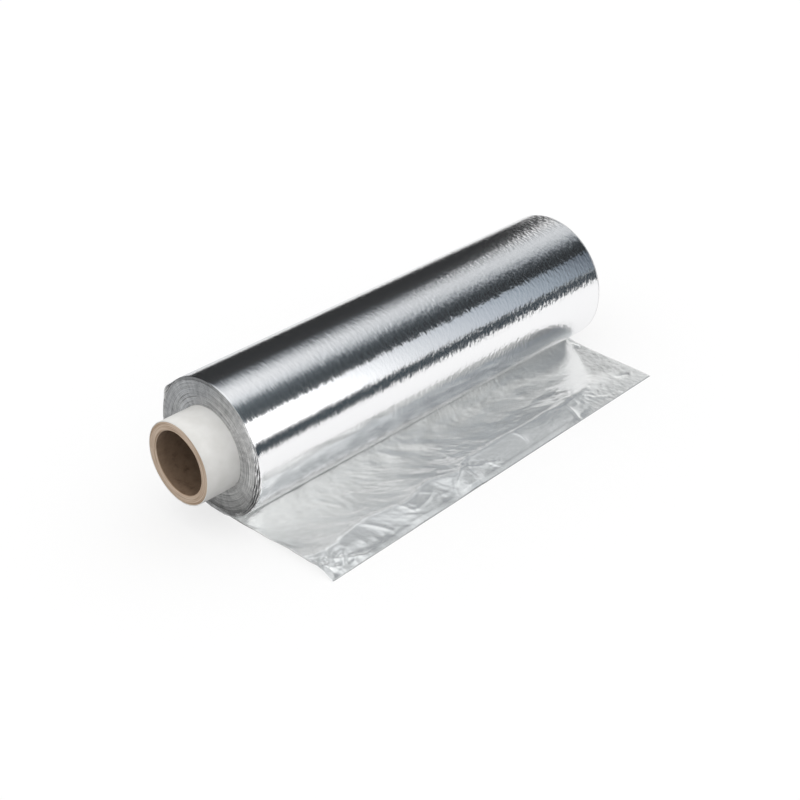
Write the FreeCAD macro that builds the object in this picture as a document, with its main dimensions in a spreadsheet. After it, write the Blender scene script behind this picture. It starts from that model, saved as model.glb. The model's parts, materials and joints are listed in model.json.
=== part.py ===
import FreeCAD, Part
import math
import os
import Sketcher
from FreeCAD import Vector

# A wide catering roll of aluminium foil that lies on a table, with a length pulled off towards the front.
# It is three pieces: the foil, whose wound turns and pulled length are one strip, the tube of wound board
# that it is rolled on, and the white paper that is glued round the tube.
# X runs along the roll, from the near end, where the tube stands out furthest, to the far end.
# The foil is pulled off towards -Y. The origin is on the table, under the roll's axis, half-way along the foil.
# Lengths are in millimetres and angles in degrees.

SIZES = [
    ("foil_width", 300, "width of the strip, which is the length of the wound roll"),
    ("roll_radius", 43.5, "outside of the last turn"),
    ("flat_depth", 0.4, "how far the roll's weight flattens it on the table"),
    ("gauge", 0.3, "drawn thickness of the pulled length"),
    ("core_radius", 26, "outside of the white paper"),
    ("paper_wall", 0.5, "thickness of the white paper"),
    ("board_wall", 5.5, "thickness of the wound board"),
    ("core_out_near", 24, "tube that stands out at the near end"),
    ("core_out_far", 8, "tube that stands out at the far end"),
    ("mouth_bevel", 0.6, "bevel that the cutting knife leaves at the tube's mouths"),
    ("turn_pitch", 2.7, "distance between two grooves of the spiral on an end of the roll"),
    ("turn_groove", 0.7, "depth of that spiral groove, which parts two bundles of turns"),
    ("turn_margin", 0.8, "plain ring between the spiral and the edge that it stops at"),
    ("slack_turns", 3, "number of slots between the slack turns at the near end"),
    ("slack_leaf", 0.5, "thickness of a bundle of slack turns"),
    ("slack_gap", 1.2, "widest opening of a slot"),
    ("slack_depth", 12, "depth of the outermost slot from the near end"),
    ("slack_step", 3, "how much shallower each next slot is"),
    ("slack_place", 80, "angle from the table, towards the front, of the slots' widest point"),
    ("slack_reach", 60, "angle that a slot runs on to each side of that point"),
    ("pull_near", 99.6, "reach of the pulled length from the axis, at its near edge"),
    ("pull_far", 89.5, "reach of the pulled length from the axis, at its far edge"),
    ("pull_tuck", 5, "start of the pulled length under the roll, from the axis"),
    ("pull_seat", 0.05, "height of the pulled length over the table where it leaves the roll"),
    ("rise_near", 4.2, "height that the pulled length arches to at its near edge"),
    ("rise_far", 1.6, "the same at its far edge"),
    ("crease_height", 4, "height of the highest crease, on top of the arch"),
    ("lip_width", 4, "strip along the cut edge that is bent down to the table"),
    ("lip_height", 1.6, "height of that bend over the table"),
]

# The creases of the pulled length run slantwise from the roll to the cut edge. Each crest has the place where
# it leaves the roll and the place where it meets the edge, as shares of the foil's width from the near edge,
# and its share of crease_height. Between two crests is a valley.
CRESTS = [
    (0.035, 0.045, 0.60),
    (0.085, 0.125, 0.55),
    (0.160, 0.230, 0.75),
    (0.250, 0.340, 0.65),
    (0.335, 0.430, 1.00),
    (0.600, 0.740, 0.80),
    (0.780, 0.870, 0.50),
    (0.900, 0.955, 0.30),
]

# The crests and the arch under them lean towards the cut edge by these powers.
ARCH_LEAN = 1.9
CREST_LEAN = 1.4

# Points along a crease that its curve is drawn by.
CREASE_POINTS = 7

doc = FreeCAD.newDocument("foil_roll")
sizes = doc.addObject("Spreadsheet::Sheet", "Sizes")
for row, (alias, size, note) in enumerate(SIZES, start=1):
    sizes.set(f"A{row}", alias)
    sizes.set(f"B{row}", str(size))
    sizes.set(f"C{row}", note)
    sizes.setAlias(f"B{row}", alias)
doc.recompute()

AXIS_HEIGHT = "(Sizes.roll_radius - Sizes.flat_depth)"
NEAR_END = "(-Sizes.foil_width / 2)"
FAR_END = "(Sizes.foil_width / 2)"
BOARD_RADIUS = "(Sizes.core_radius - Sizes.paper_wall)"
BORE_RADIUS = "(Sizes.core_radius - Sizes.paper_wall - Sizes.board_wall)"
CORE_LENGTH = "(Sizes.core_out_near + Sizes.foil_width + Sizes.core_out_far)"
SPIRAL_START = "(Sizes.core_radius + Sizes.turn_groove + Sizes.turn_margin)"
SPIRAL_MARGIN = "(Sizes.turn_groove + Sizes.turn_margin)"
SLACK_ZONE = "(Sizes.slack_turns * (Sizes.slack_leaf + Sizes.slack_gap))"

ALONG_THE_ROLL = "rotation(vector(0; 1; 0); 90)"
BACK_ALONG_THE_ROLL = "rotation(vector(0; 1; 0); -90)"
ACROSS_THE_TURN = "rotation(vector(1; 0; 0); 90)"
UPRIGHT = "rotation(vector(0; 0; 1); 0)"


def place(item, x="0", y="0", z="0", turn=ALONG_THE_ROLL):
    """Binds the item's place and turn to expressions."""
    item.setExpression("Placement", f"placement(vector({x}; {y}; {z}); {turn})")


def add(kind, name, **bindings):
    """Adds an object and binds its sizes to expressions."""
    item = doc.addObject(kind, name)
    for size_name, expression in bindings.items():
        item.setExpression(size_name, expression)
    return item


def cut(name, base, tool):
    """Takes the tool away from the base."""
    item = doc.addObject("Part::Cut", name)
    item.Base = base
    item.Tool = tool
    return item


def join(name, items):
    """Joins the items into one."""
    item = doc.addObject("Part::MultiFuse", name)
    item.Shapes = items
    return item


# The tube and the paper round it


def sleeve(name, outside, inside):
    """A sleeve as long as the tube: two circles drawn on its end plane and padded along the roll."""
    body = doc.addObject("PartDesign::Body", name)
    body.Label = name
    place(body, x=f"{NEAR_END} - Sizes.core_out_near", z=AXIS_HEIGHT)
    end_plane = next(item for item in body.Origin.OriginFeatures if item.Role == "XY_Plane")
    rings = body.newObject("Sketcher::SketchObject", f"{name}_rings")
    rings.AttachmentSupport = [(end_plane, "")]
    rings.MapMode = "FlatFace"
    for ring, radius in enumerate((outside, inside)):
        drawn_radius = body.evalExpression(radius)
        rings.addGeometry(Part.Circle(Vector(0, 0, 0), Vector(0, 0, 1), drawn_radius), False)
        rings.addConstraint(Sketcher.Constraint("Coincident", ring, 3, -1, 1))
        row = rings.addConstraint(Sketcher.Constraint("Radius", ring, drawn_radius))
        rings.setExpression(f"Constraints[{row}]", radius)
    pad = body.newObject("PartDesign::Pad", f"{name}_pad")
    pad.Profile = rings
    pad.setExpression("Length", CORE_LENGTH)
    doc.recompute()
    return body


def bevel_mouths(body, radius):
    """Bevels the edges of this radius, which are the rims of the bore at both ends."""
    pad = body.Tip
    wanted = body.evalExpression(radius)
    rims = [
        f"Edge{number}"
        for number, edge in enumerate(pad.Shape.Edges, start=1)
        if isinstance(edge.Curve, Part.Circle) and math.isclose(edge.Curve.Radius, wanted)
    ]
    bevel = body.newObject("PartDesign::Chamfer", f"{body.Name}_bevel")
    bevel.Base = (pad, rims)
    bevel.setExpression("Size", "Sizes.mouth_bevel")
    body.Tip = bevel


# The wound turns


def wound_ring():
    """The solid ring of wound foil, flattened where it lies on the table."""
    roll = add("Part::Cylinder", "roll_outside", Radius="Sizes.roll_radius", Height="Sizes.foil_width")
    hole = add("Part::Cylinder", "roll_hole", Radius="Sizes.core_radius", Height="Sizes.foil_width")
    for item in (roll, hole):
        place(item, x=NEAR_END, z=AXIS_HEIGHT)
    below = add(
        "Part::Box",
        "below_table",
        Length="Sizes.foil_width",
        Width="2 * Sizes.roll_radius",
        Height="Sizes.roll_radius",
    )
    place(below, x=NEAR_END, y="-Sizes.roll_radius", z="-Sizes.roll_radius", turn=UPRIGHT)
    return cut("roll_flattened", cut("roll_ring", roll, hole), below)


def spiral_groove(name, end, last_radius):
    """A V-shaped groove on one end of the roll. It winds out from the tube the way the turns do, which is
    over the top to the back, so that the outermost turn leaves the roll underneath, towards the front."""
    path = add(
        "Part::Spiral",
        f"{name}_path",
        Growth="Sizes.turn_pitch",
        Radius=SPIRAL_START,
        Rotations=f"({last_radius} - {SPIRAL_START}) / Sizes.turn_pitch",
    )
    place(path, x=end, z=AXIS_HEIGHT, turn=BACK_ALONG_THE_ROLL)
    section = add("Part::RegularPolygon", f"{name}_section", Circumradius="Sizes.turn_groove")
    section.Polygon = 4
    place(section, x=end, z=f"{AXIS_HEIGHT} + {SPIRAL_START}", turn=f"{BACK_ALONG_THE_ROLL} * {ACROSS_THE_TURN}")
    doc.recompute()
    groove = doc.addObject("Part::Sweep", name)
    groove.Sections = [section]
    groove.Spine = (path, [f"Edge{number}" for number in range(1, len(path.Shape.Edges) + 1)])
    groove.Solid = True
    return groove


def slack_slots():
    """The slots between the slack turns at the near end. Each is the crescent between two circles of one
    radius, of which the inner is shifted away from the slots' widest point, so that every bundle of turns
    keeps its thickness and the slots open towards the front."""
    slots = []
    for number in range(int(sizes.slack_turns)):
        radius = f"Sizes.roll_radius - {number + 1} * Sizes.slack_leaf"
        depth = f"Sizes.slack_depth - {number} * Sizes.slack_step"
        circles = []
        for side, shift in (("outer", number), ("inner", number + 1)):
            circle = add("Part::Cylinder", f"slot_{number + 1}_{side}", Radius=radius, Height=depth)
            place(
                circle,
                x=NEAR_END,
                y=f"{shift} * Sizes.slack_gap * sin(Sizes.slack_place)",
                z=f"{AXIS_HEIGHT} + {shift} * Sizes.slack_gap * cos(Sizes.slack_place)",
                turn=f"{ALONG_THE_ROLL} * rotation(vector(0; 0; 1); -(Sizes.slack_place + Sizes.slack_reach))",
            )
            circles.append(circle)
        outer, inner = circles
        outer.setExpression("Angle", "2 * Sizes.slack_reach")
        slots.append(cut(f"slot_{number + 1}", outer, inner))
    return slots


# The pulled length


def crease_lines():
    """Every line that the pulled length bends along, from the near edge to the far edge: its place at the
    roll, its place at the cut edge and its share of crease_height."""
    lines = [(0, 0, 0)]
    for start, finish, share in CRESTS:
        last_start, last_finish, _ = lines[-1]
        if len(lines) > 1:
            lines.append(((last_start + start) / 2, (last_finish + finish) / 2, 0))
        lines.append((start, finish, share))
    return [*lines, (1, 1, 0)]


def crease_section(number, start, finish, share):
    """The foil cut through along one of those lines, from under the roll to the cut edge. Its underside
    arches up from the roll, and its last strip, the lip, is bent down until it touches the table."""
    reach = sizes.pull_near + (sizes.pull_far - sizes.pull_near) * finish
    rise = sizes.rise_near + (sizes.rise_far - sizes.rise_near) * finish
    underside = []
    for i in range(CREASE_POINTS + 1):
        along = i / CREASE_POINTS
        across = start + (finish - start) * along
        arch = rise * math.sin(math.pi * along**ARCH_LEAN)
        crest = share * sizes.crease_height * math.sin(math.pi * along**CREST_LEAN)
        height = sizes.pull_seat + (sizes.lip_height - sizes.pull_seat) * along + arch + crest
        y = -(sizes.pull_tuck + (reach - sizes.lip_width - sizes.pull_tuck) * along)
        underside.append(Vector((across - 0.5) * sizes.foil_width, y, height))
    curve = Part.BSplineCurve()
    curve.buildFromPoles(underside)
    first, bend = underside[0], underside[-1]
    edge = Vector(bend.x, -reach, 0)
    up = Vector(0, 0, sizes.gauge)
    top = curve.copy()
    top.translate(up)
    outline = [
        curve,
        Part.LineSegment(bend, edge),
        Part.LineSegment(edge, edge + up),
        Part.LineSegment(edge + up, bend + up),
        top,
        Part.LineSegment(first + up, first),
    ]
    section = doc.addObject("Part::Feature", f"crease_{number}")
    section.Shape = Part.Wire(Part.sortEdges([side.toShape() for side in outline])[0])
    return section


def pulled_length():
    """The pulled length. Foil bends but doesn't stretch, so straight strips span from crease to crease."""
    sheet = doc.addObject("Part::Loft", "pulled_length")
    sheet.Sections = [crease_section(number, *line) for number, line in enumerate(crease_lines(), start=1)]
    sheet.Ruled = True
    sheet.Solid = True
    return sheet


core_tube = sleeve("core_tube", BOARD_RADIUS, BORE_RADIUS)
bevel_mouths(core_tube, BORE_RADIUS)
core_cover = sleeve("core_cover", "Sizes.core_radius", BOARD_RADIUS)

hollows = [
    spiral_groove("near_spiral", NEAR_END, f"(Sizes.roll_radius - {SLACK_ZONE} - {SPIRAL_MARGIN})"),
    spiral_groove("far_spiral", FAR_END, f"({AXIS_HEIGHT} - {SPIRAL_MARGIN})"),
    *slack_slots(),
]
turns = cut("roll_turns", wound_ring(), join("turn_hollows", hollows))
foil = join("foil", [turns, pulled_length()])
foil.Label = "foil"

doc.recompute()

for item in doc.Objects:
    if {"Invalid", "Error"} & set(item.State):
        raise RuntimeError(f"{item.Name} can't be built: {item.State}")

os.makedirs("parts", exist_ok=True)
for item in (foil, core_tube, core_cover):
    if item.Shape.isNull() or not item.Shape.isValid() or len(item.Shape.Solids) != 1:
        raise RuntimeError(f"{item.Label} isn't one sound solid")
    item.Shape.exportStep(f"parts/{item.Label}.step")
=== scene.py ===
import json
import logging
import math
from abc import ABC, abstractmethod
from collections.abc import Sequence
from dataclasses import dataclass
from enum import Enum

import bpy
import numpy as np
from mathutils import Matrix, Vector


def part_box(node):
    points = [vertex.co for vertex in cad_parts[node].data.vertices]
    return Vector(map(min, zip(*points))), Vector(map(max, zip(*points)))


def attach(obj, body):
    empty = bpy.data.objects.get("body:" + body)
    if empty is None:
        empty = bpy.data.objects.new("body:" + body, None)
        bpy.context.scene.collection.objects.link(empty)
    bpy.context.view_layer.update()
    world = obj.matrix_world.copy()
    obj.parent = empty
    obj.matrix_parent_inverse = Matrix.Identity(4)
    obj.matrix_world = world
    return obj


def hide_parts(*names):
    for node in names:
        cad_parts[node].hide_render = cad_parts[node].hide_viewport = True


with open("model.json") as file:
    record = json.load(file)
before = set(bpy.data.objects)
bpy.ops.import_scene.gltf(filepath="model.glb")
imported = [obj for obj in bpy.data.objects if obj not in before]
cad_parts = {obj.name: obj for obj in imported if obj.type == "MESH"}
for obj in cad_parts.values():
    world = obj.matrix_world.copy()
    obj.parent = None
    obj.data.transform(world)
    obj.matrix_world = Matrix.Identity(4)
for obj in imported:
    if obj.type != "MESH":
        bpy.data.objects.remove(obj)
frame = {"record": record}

# The aluminium foil roll: the wound foil with its slack turns, the length pulled off it, the board core
# and the white paper round the core. X runs along the roll, from the end where the core stands out
# furthest to the other, the foil is pulled off towards -Y and Z is up from the table.
# Lengths are in millimetres and angles in degrees. MM turns a length to the metres of the frame.

MM = 0.001
LOG = logging.getLogger("foil_roll")
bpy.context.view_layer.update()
TURN = 2 * math.pi


class Slot(Enum):
    """The record's material slots."""

    FOIL = "foil"
    CORE_BOARD = "core_board"
    CORE_PAPER = "core_paper"


def linear(colour: str) -> tuple[float, float, float, float]:
    """Turns an sRGB colour to linear light.

    Args:
        colour: six hex digits after a hash.

    Returns:
        Red, green, blue and an alpha of one.
    """
    levels = [int(colour[place:place + 2], 16) / 255 for place in (1, 3, 5)]
    red, green, blue = [x / 12.92 if x <= 0.04045 else ((x + 0.055) / 1.055) ** 2.4 for x in levels]
    return red, green, blue, 1.0


def add_node(
    tree: bpy.types.NodeTree,
    kind: str,
    values: dict[str | int, object] | None = None,
    links: dict[str | int, bpy.types.NodeSocket] | None = None,
    stops: Sequence[tuple[float, str]] = (),
    **settings: object,
) -> bpy.types.Node:
    """Adds a node with its settings and links.

    Args:
        tree: the tree that gets the node.
        kind: the node's type.
        values: what unlinked inputs are set to.
        links: the outputs that feed the other inputs.
        stops: places and colours along a colour ramp.
        settings: the node's own properties.

    Returns:
        The new node.
    """
    node = tree.nodes.new(kind)
    for name, setting in settings.items():
        setattr(node, name, setting)
    for name, value in (values or {}).items():
        node.inputs[name].default_value = value
    for name, source in (links or {}).items():
        tree.links.new(source, node.inputs[name])
    for number, (place, colour) in enumerate(stops):
        stop = node.color_ramp.elements[number] if number < 2 else node.color_ramp.elements.new(place)
        stop.position = place
        stop.color = linear(colour)
    return node


def waves(
    along: np.ndarray,
    across: np.ndarray,
    size: tuple[float, float],
    seed: int,
    count: int = 24,
    closes: float = 0,
) -> np.ndarray:
    """A smooth random field: the sum of plane waves with random directions and phases, of unit strength.

    Args:
        along: first coordinate of each point.
        across: second coordinate of each point.
        size: wavelength along each coordinate.
        seed: start of the random draws.
        count: how many waves are added.
        closes: length of the second coordinate after which the field repeats, or 0.

    Returns:
        The field at each point.
    """
    draw = np.random.default_rng(seed)
    turn = draw.uniform(0, TURN, count)
    stretch = draw.uniform(0.6, 1.4, count)
    rate_along = np.cos(turn) * stretch / size[0]
    rate_across = np.sin(turn) * stretch / size[1]
    if closes:
        rate_across = np.round(rate_across * closes) / closes
    phase = draw.uniform(0, TURN, count)
    field = np.zeros(np.broadcast(along, across).shape)
    for step in range(count):
        field += np.cos(TURN * (along * rate_along[step] + across * rate_across[step]) + phase[step])
    return field * math.sqrt(2 / count)


def smooth(low: float, high: float, value: np.ndarray) -> np.ndarray:
    """Rises from 0 at low to 1 at high as 3t squared less 2t cubed."""
    share = np.clip((value - low) / (high - low), 0, 1)
    return share * share * (3 - 2 * share)


@dataclass
class Surface:
    """A closed surface that is worked out on a grid of two parameters.

    The grid closes on itself in the second parameter, and in the first one too unless it has caps.
    """

    name: str
    points: np.ndarray
    flat_map: np.ndarray
    caps: bool = False
    finishes: np.ndarray | None = None

    def faces(self) -> tuple[np.ndarray, np.ndarray]:
        """Numbers the corners of every face.

        Returns:
            The corners' numbers in the grid, and the same in the flat map, which has one more row and column.
        """
        rows, columns = self.points.shape[:2]
        last_row = rows - 1 if self.caps else rows
        row, column = np.meshgrid(np.arange(last_row), np.arange(columns), indexing="ij")
        corners = [(row, column), (row + 1, column), (row + 1, column + 1), (row, column + 1)]
        grid = np.stack([(r % rows) * columns + c % columns for r, c in corners], axis=-1).reshape(-1, 4)
        flat = np.stack([r * (columns + 1) + c for r, c in corners], axis=-1).reshape(-1, 4)
        if self.caps:
            half = columns // 2
            top = np.arange(half - 1)
            side = [top, top + 1, columns - 2 - top, columns - 1 - top]
            for first, turned in ((0, False), ((rows - 1) * columns, True)):
                cap = np.stack([first + place for place in side], axis=-1)
                spread = (first // columns) * (columns + 1) + np.stack(side, axis=-1)
                grid = np.vstack([grid, cap[:, ::-1] if turned else cap])
                flat = np.vstack([flat, spread[:, ::-1] if turned else spread])
        return grid, flat

    def build(self) -> bpy.types.Object:
        """Makes the mesh, with its faces turned outwards and its flat map in millimetres.

        Returns:
            The object, which lies at the origin.
        """
        grid, flat = self.faces()
        corners = self.points.reshape(-1, 3) * MM
        one, two, three, four = (corners[grid[:, place]] for place in range(4))
        volume = np.einsum("ij,ij->", one, np.cross(two, three) + np.cross(three, four))
        if volume < 0:
            grid, flat = grid[:, ::-1], flat[:, ::-1]
        mesh = bpy.data.meshes.new(self.name)
        mesh.from_pydata(corners, [], grid)
        layer = mesh.uv_layers.new(name="flat_mm")
        layer.uv.foreach_set("vector", self.flat_map.reshape(-1, 2)[flat.ravel()].astype(np.float32).ravel())
        mesh.polygons.foreach_set("use_smooth", np.ones(len(grid), dtype=bool))
        if self.finishes is not None:
            mesh.polygons.foreach_set("material_index", self.finishes.ravel().astype(np.int32))
        mesh.update()
        item = bpy.data.objects.new(self.name, mesh)
        bpy.context.scene.collection.objects.link(item)
        return item


class Finish(ABC):
    """A finish that can be put on a piece."""

    name: str

    @abstractmethod
    def fill(self, tree: bpy.types.NodeTree) -> bpy.types.NodeSocket:
        """Adds the finish's nodes to the tree and returns the shader."""

    def material(self) -> bpy.types.Material:
        """Makes the finish's material.

        Returns:
            The material.
        """
        made = bpy.data.materials.new(self.name)
        made.use_nodes = True
        tree = made.node_tree
        tree.nodes.clear()
        add_node(tree, "ShaderNodeOutputMaterial", links={"Surface": self.fill(tree)})
        return made


@dataclass(frozen=True)
class BrightFoil(Finish):
    """The bright side of rolled aluminium foil, wound tight.

    The last pass between polished rolls leaves it a mirror with fine lines along the strip. Here the strip
    runs round the roll, so the lines spread each reflection along the roll and comb its edges. The real
    lines are too fine to show, so they are drawn coarser.
    """

    name: str = "aluminium_foil_bright"
    colour: str = "#F8F8F9"
    roughness: float = 0.17
    anisotropy: float = 0.72
    line_width: float = 0.4
    line_length: float = 9.0
    line_tilt: float = 1.0
    ripple_width: float = 1.9
    ripple_length: float = 3.6
    ripple_depth: float = 0.14
    ripple_from: float = -90.0
    ripple_to: float = 60.0
    ripple_least: float = 0.15

    def fill(self, tree: bpy.types.NodeTree) -> bpy.types.NodeSocket:
        """Adds the lines, the ripples and the metal.

        Args:
            tree: the material's nodes.

        Returns:
            The shader.
        """
        flat = add_node(tree, "ShaderNodeUVMap", uv_map="flat_mm")
        stretched = add_node(
            tree,
            "ShaderNodeMapping",
            values={"Scale": (1 / self.line_width, 1 / self.line_length, 1)},
            links={"Vector": flat.outputs["UV"]},
        )
        lines = add_node(
            tree,
            "ShaderNodeTexNoise",
            values={"Scale": 1.0, "Detail": 2.0, "Roughness": 0.6},
            links={"Vector": stretched.outputs["Vector"]},
            noise_dimensions="2D",
        )
        # A noise texture stays within about a quarter of its middle, so four times the tilt is its range.
        reach = 4 * math.tan(math.radians(self.line_tilt)) / 2
        tilt = add_node(
            tree,
            "ShaderNodeMapRange",
            values={"To Min": 0.5 - reach, "To Max": 0.5 + reach},
            links={"Value": lines.outputs["Fac"]},
        )
        leaning = add_node(
            tree,
            "ShaderNodeCombineColor",
            values={"Red": 0.5, "Blue": 1.0},
            links={"Green": tilt.outputs["Result"]},
        )
        combed = add_node(
            tree, "ShaderNodeNormalMap", links={"Color": leaning.outputs["Color"]}, uv_map="flat_mm"
        )
        scaled = add_node(
            tree,
            "ShaderNodeMapping",
            values={"Scale": (1 / self.ripple_width, 1 / self.ripple_length, 1)},
            links={"Vector": flat.outputs["UV"]},
        )
        ripples = add_node(
            tree,
            "ShaderNodeTexNoise",
            values={"Scale": 1.0, "Detail": 1.0},
            links={"Vector": scaled.outputs["Vector"]},
            noise_dimensions="2D",
        )
        # The ripples get stronger along the roll.
        parts = add_node(tree, "ShaderNodeSeparateXYZ", links={"Vector": flat.outputs["UV"]})
        share = add_node(
            tree,
            "ShaderNodeMapRange",
            values={
                "From Min": self.ripple_from,
                "From Max": self.ripple_to,
                "To Min": self.ripple_least,
                "To Max": 1.0,
            },
            links={"Value": parts.outputs["X"]},
        )
        rippled = add_node(
            tree,
            "ShaderNodeBump",
            values={"Distance": self.ripple_depth * MM},
            links={
                "Strength": share.outputs["Result"],
                "Height": ripples.outputs["Fac"],
                "Normal": combed.outputs["Normal"],
            },
        )
        tangent = add_node(tree, "ShaderNodeTangent", direction_type="UV_MAP", uv_map="flat_mm")
        metal = add_node(
            tree,
            "ShaderNodeBsdfPrincipled",
            values={
                "Base Color": linear(self.colour),
                "Metallic": 1.0,
                "Roughness": self.roughness,
                "Anisotropic": self.anisotropy,
            },
            links={"Normal": rippled.outputs["Normal"], "Tangent": tangent.outputs["Tangent"]},
        )
        return metal.outputs["BSDF"]


@dataclass(frozen=True)
class SatinFoil(Finish):
    """The matt side of the foil, which lay against another foil in the last pass.

    It is a satin grey that still mirrors what stands on it, with soft creases from handling. The haze is the
    share of the light that the matt side scatters, taken off the metallic value.
    """

    name: str = "aluminium_foil_satin"
    colour: str = "#FAFBFA"
    haze: float = 0.12
    roughness: float = 0.23
    crumple_size: float = 3.6
    crumple_depth: float = 0.10
    grain_size: float = 0.5
    grain_depth: float = 0.006

    def fill(self, tree: bpy.types.NodeTree) -> bpy.types.NodeSocket:
        """Adds the soft crumples, the grain and the metal.

        Args:
            tree: the material's nodes.

        Returns:
            The shader.
        """
        place = add_node(tree, "ShaderNodeTexCoord")
        normal = None
        for size, depth in ((self.crumple_size, self.crumple_depth), (self.grain_size, self.grain_depth)):
            pattern = add_node(
                tree,
                "ShaderNodeTexNoise",
                values={"Scale": 1 / (size * MM), "Detail": 2.0},
                links={"Vector": place.outputs["Object"]},
            )
            bumps = add_node(
                tree,
                "ShaderNodeBump",
                values={"Strength": 1.0, "Distance": depth * MM},
                links={"Height": pattern.outputs["Fac"]} | ({"Normal": normal} if normal else {}),
            )
            normal = bumps.outputs["Normal"]
        metal = add_node(
            tree,
            "ShaderNodeBsdfPrincipled",
            values={
                "Base Color": linear(self.colour),
                "Metallic": 1 - self.haze,
                "Roughness": self.roughness,
            },
            links={"Normal": normal},
        )
        return metal.outputs["BSDF"]


@dataclass(frozen=True)
class FoilEdges(Finish):
    """The slit edges of several hundred turns, seen end on.

    The slitting knives leave each edge a little torn, so the stack is a dull grey with fine rings. The nicks
    of a few turns that stand out are dented in, and light streaks and dark patches along them are painted
    into the grey: painted glints.
    ring stands for about a dozen turns.
    """

    name: str = "aluminium_foil_edges"
    colour: str = "#F3F3F3"
    dark: str = "#88898B"
    roughness: float = 0.36
    anisotropy: float = 0.8
    ring_width: float = 0.22
    ring_length: float = 55.0
    ring_depth: float = 0.025
    nick_length: float = 7.0
    nick_width: float = 4.0
    nick_depth: float = 0.05
    nick_glint_share: float = 0.2
    dark_at: float = 0.42
    bright_at: float = 0.76

    def fill(self, tree: bpy.types.NodeTree) -> bpy.types.NodeSocket:
        """Adds the rings and nicks, which read the radius and the place round the roll from the flat map.

        Args:
            tree: the material's nodes.

        Returns:
            The shader.
        """
        flat = add_node(tree, "ShaderNodeUVMap", uv_map="flat_mm")
        stretched = add_node(
            tree,
            "ShaderNodeMapping",
            values={"Scale": (1 / self.ring_width, 1 / self.ring_length, 1)},
            links={"Vector": flat.outputs["UV"]},
        )
        rings = add_node(
            tree,
            "ShaderNodeTexNoise",
            values={"Scale": 1.0, "Detail": 3.0, "Roughness": 0.7},
            links={"Vector": stretched.outputs["Vector"]},
            noise_dimensions="2D",
        )
        drawn_out = add_node(
            tree,
            "ShaderNodeMapping",
            values={"Scale": (1 / self.nick_length, 1 / self.nick_width, 1)},
            links={"Vector": flat.outputs["UV"]},
        )
        nicks = add_node(
            tree,
            "ShaderNodeTexNoise",
            values={"Scale": 1.0, "Detail": 1.0},
            links={"Vector": drawn_out.outputs["Vector"]},
            noise_dimensions="2D",
        )
        # The nicks also tint the grey: painted glints, light streaks drawn out along the radius, with dark
        # patches between.
        uneven = add_node(
            tree,
            "ShaderNodeMath",
            values={1: self.nick_glint_share},
            links={0: nicks.outputs["Fac"], 2: rings.outputs["Fac"]},
            operation="MULTIPLY_ADD",
        )
        grey = add_node(
            tree,
            "ShaderNodeValToRGB",
            links={"Fac": uneven.outputs["Value"]},
            stops=[(self.dark_at, self.dark), (self.bright_at, self.colour)],
        )
        dented = add_node(
            tree,
            "ShaderNodeBump",
            values={"Strength": 1.0, "Distance": self.nick_depth * MM},
            links={"Height": nicks.outputs["Fac"]},
        )
        raised = add_node(
            tree,
            "ShaderNodeBump",
            values={"Strength": 1.0, "Distance": self.ring_depth * MM},
            links={"Height": rings.outputs["Fac"], "Normal": dented.outputs["Normal"]},
        )
        tangent = add_node(tree, "ShaderNodeTangent", direction_type="UV_MAP", uv_map="flat_mm")
        metal = add_node(
            tree,
            "ShaderNodeBsdfPrincipled",
            values={"Metallic": 1.0, "Roughness": self.roughness, "Anisotropic": self.anisotropy},
            links={
                "Base Color": grey.outputs["Color"],
                "Normal": raised.outputs["Normal"],
                "Tangent": tangent.outputs["Tangent"],
            },
        )
        return metal.outputs["BSDF"]


@dataclass(frozen=True)
class KraftBoard(Finish):
    """The wall of a tube of brown board, wound from recycled fibre and glued.

    The smooth liner is matt, with faint clouds and specks of the fibre.
    """

    name: str = "kraft_board"
    colour: str = "#7E6854"
    pale: str = "#8B7560"
    dark: str = "#68523F"
    roughness: float = 0.85
    ior: float = 1.45
    mottle_size: float = 5.0
    fibre_size: float = 0.6
    fibre_depth: float = 0.03

    def fill(self, tree: bpy.types.NodeTree) -> bpy.types.NodeSocket:
        """Adds the mottle, the fibres and the board.

        Args:
            tree: the material's nodes.

        Returns:
            The shader.
        """
        place = add_node(tree, "ShaderNodeTexCoord")
        mottle = add_node(
            tree,
            "ShaderNodeTexNoise",
            values={"Scale": 1 / (self.mottle_size * MM), "Detail": 5.0, "Roughness": 0.6},
            links={"Vector": place.outputs["Object"]},
        )
        brown = add_node(
            tree,
            "ShaderNodeValToRGB",
            links={"Fac": mottle.outputs["Fac"]},
            stops=[(0.28, self.dark), (0.74, self.pale), (0.45, self.colour)],
        )
        fibres = add_node(
            tree,
            "ShaderNodeTexNoise",
            values={"Scale": 1 / (self.fibre_size * MM), "Detail": 3.0},
            links={"Vector": place.outputs["Object"]},
        )
        rough = add_node(
            tree,
            "ShaderNodeBump",
            values={"Strength": 1.0, "Distance": self.fibre_depth * MM},
            links={"Height": fibres.outputs["Fac"]},
        )
        board = add_node(
            tree,
            "ShaderNodeBsdfPrincipled",
            values={"Roughness": self.roughness, "IOR": self.ior},
            links={"Base Color": brown.outputs["Color"], "Normal": rough.outputs["Normal"]},
        )
        return board.outputs["BSDF"]


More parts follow.
